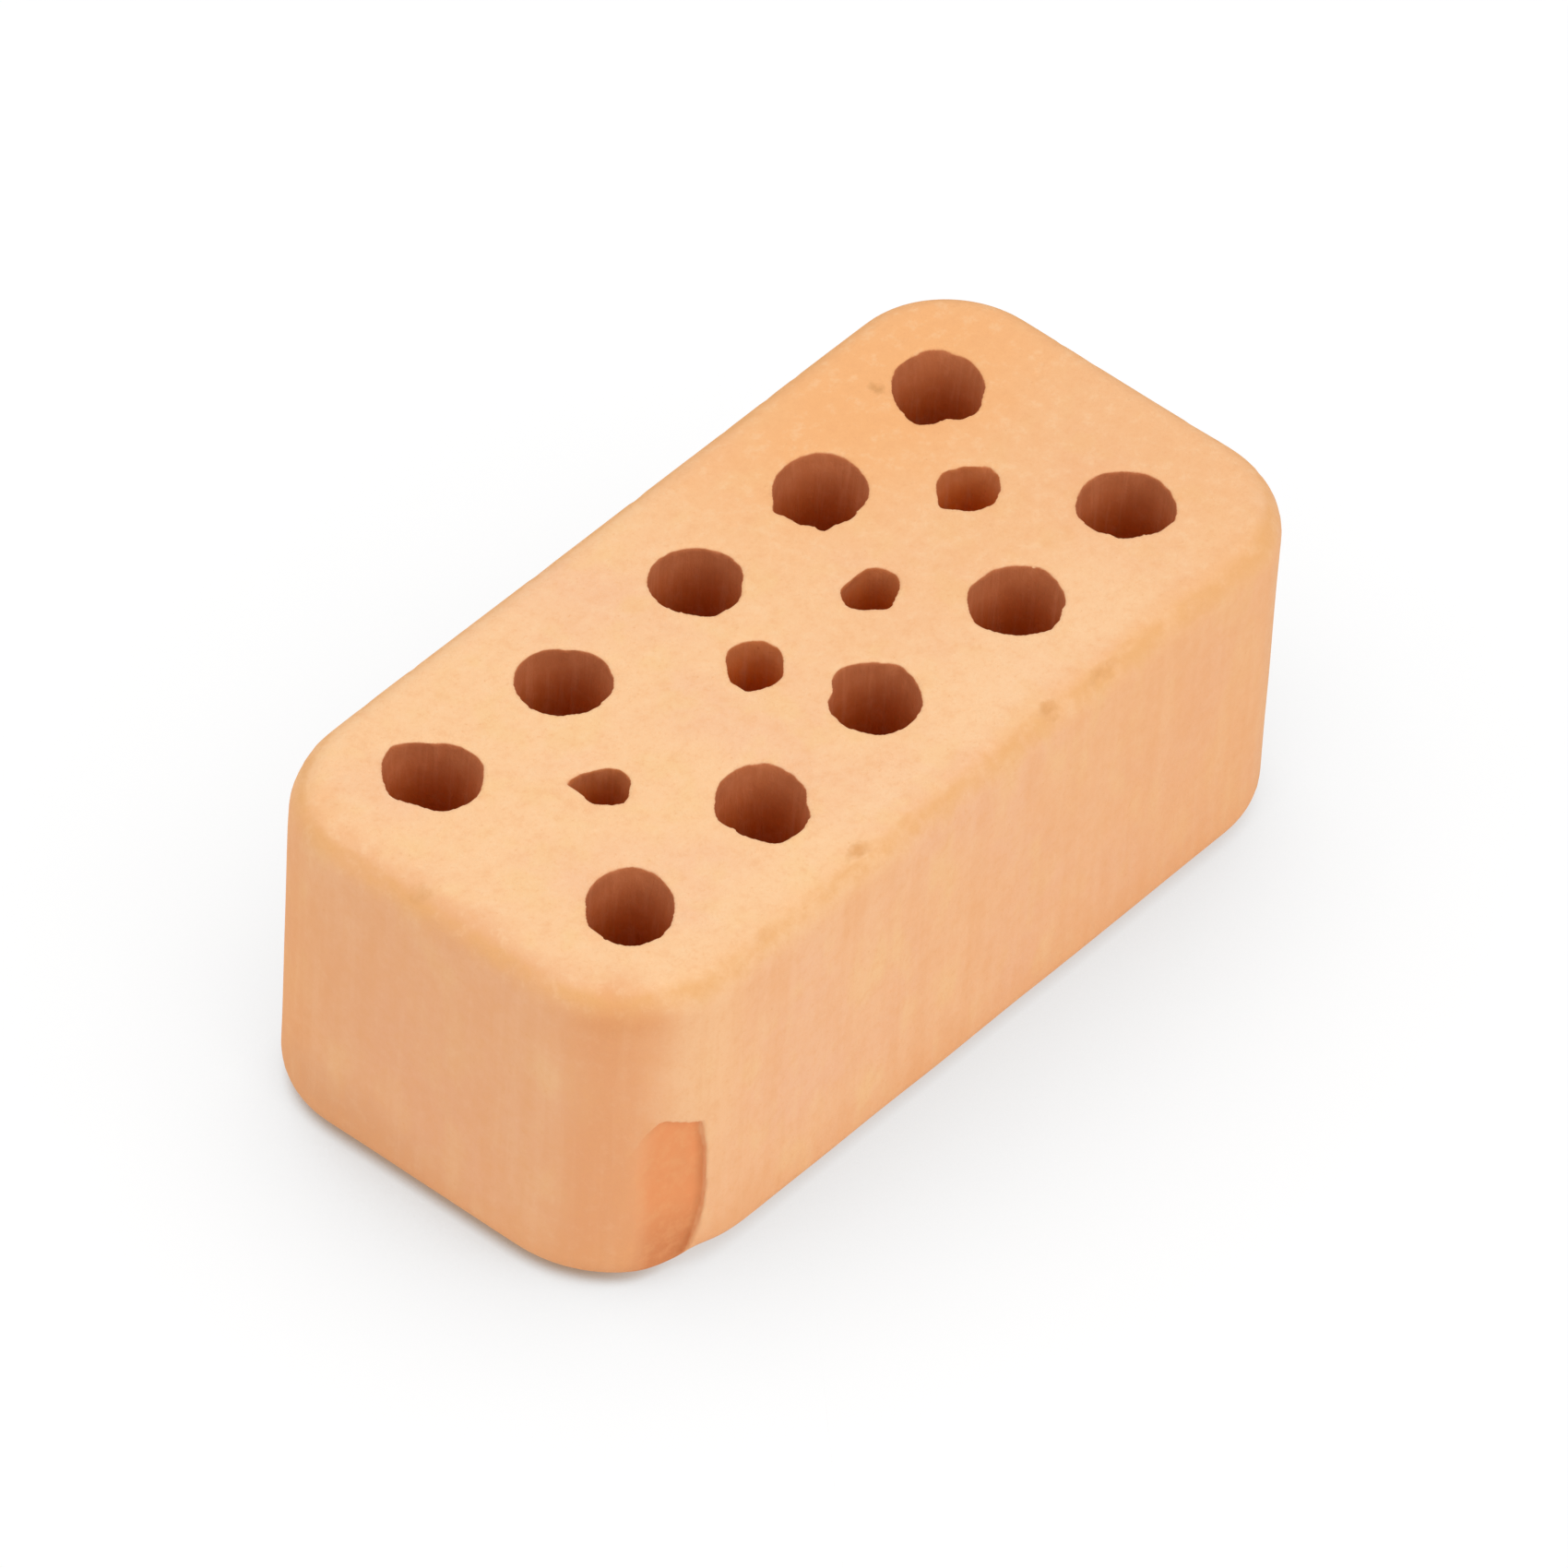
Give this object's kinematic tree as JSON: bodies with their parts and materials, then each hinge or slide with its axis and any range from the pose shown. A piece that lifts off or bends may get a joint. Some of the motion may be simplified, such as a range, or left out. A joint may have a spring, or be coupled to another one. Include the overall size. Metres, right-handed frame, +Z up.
{
  "type": "miniature perforated clay brick",
  "caption": "Small fired-clay brick with rounded corners and edges, pierced by vertical holes in two rows with smaller ones between.",
  "frame": {"origin": "middle of the brick's outline on the level that its bed face lies on", "axes": "+X along the length, +Y across the two rows of holes, +Z up along the holes"},
  "size_m": [0.065, 0.0322, 0.0241],
  "materials": {
    "fired_clay": "matte"
  },
  "bodies": {
    "root": {"brick": "fired_clay"}
  },
  "joints": []
}
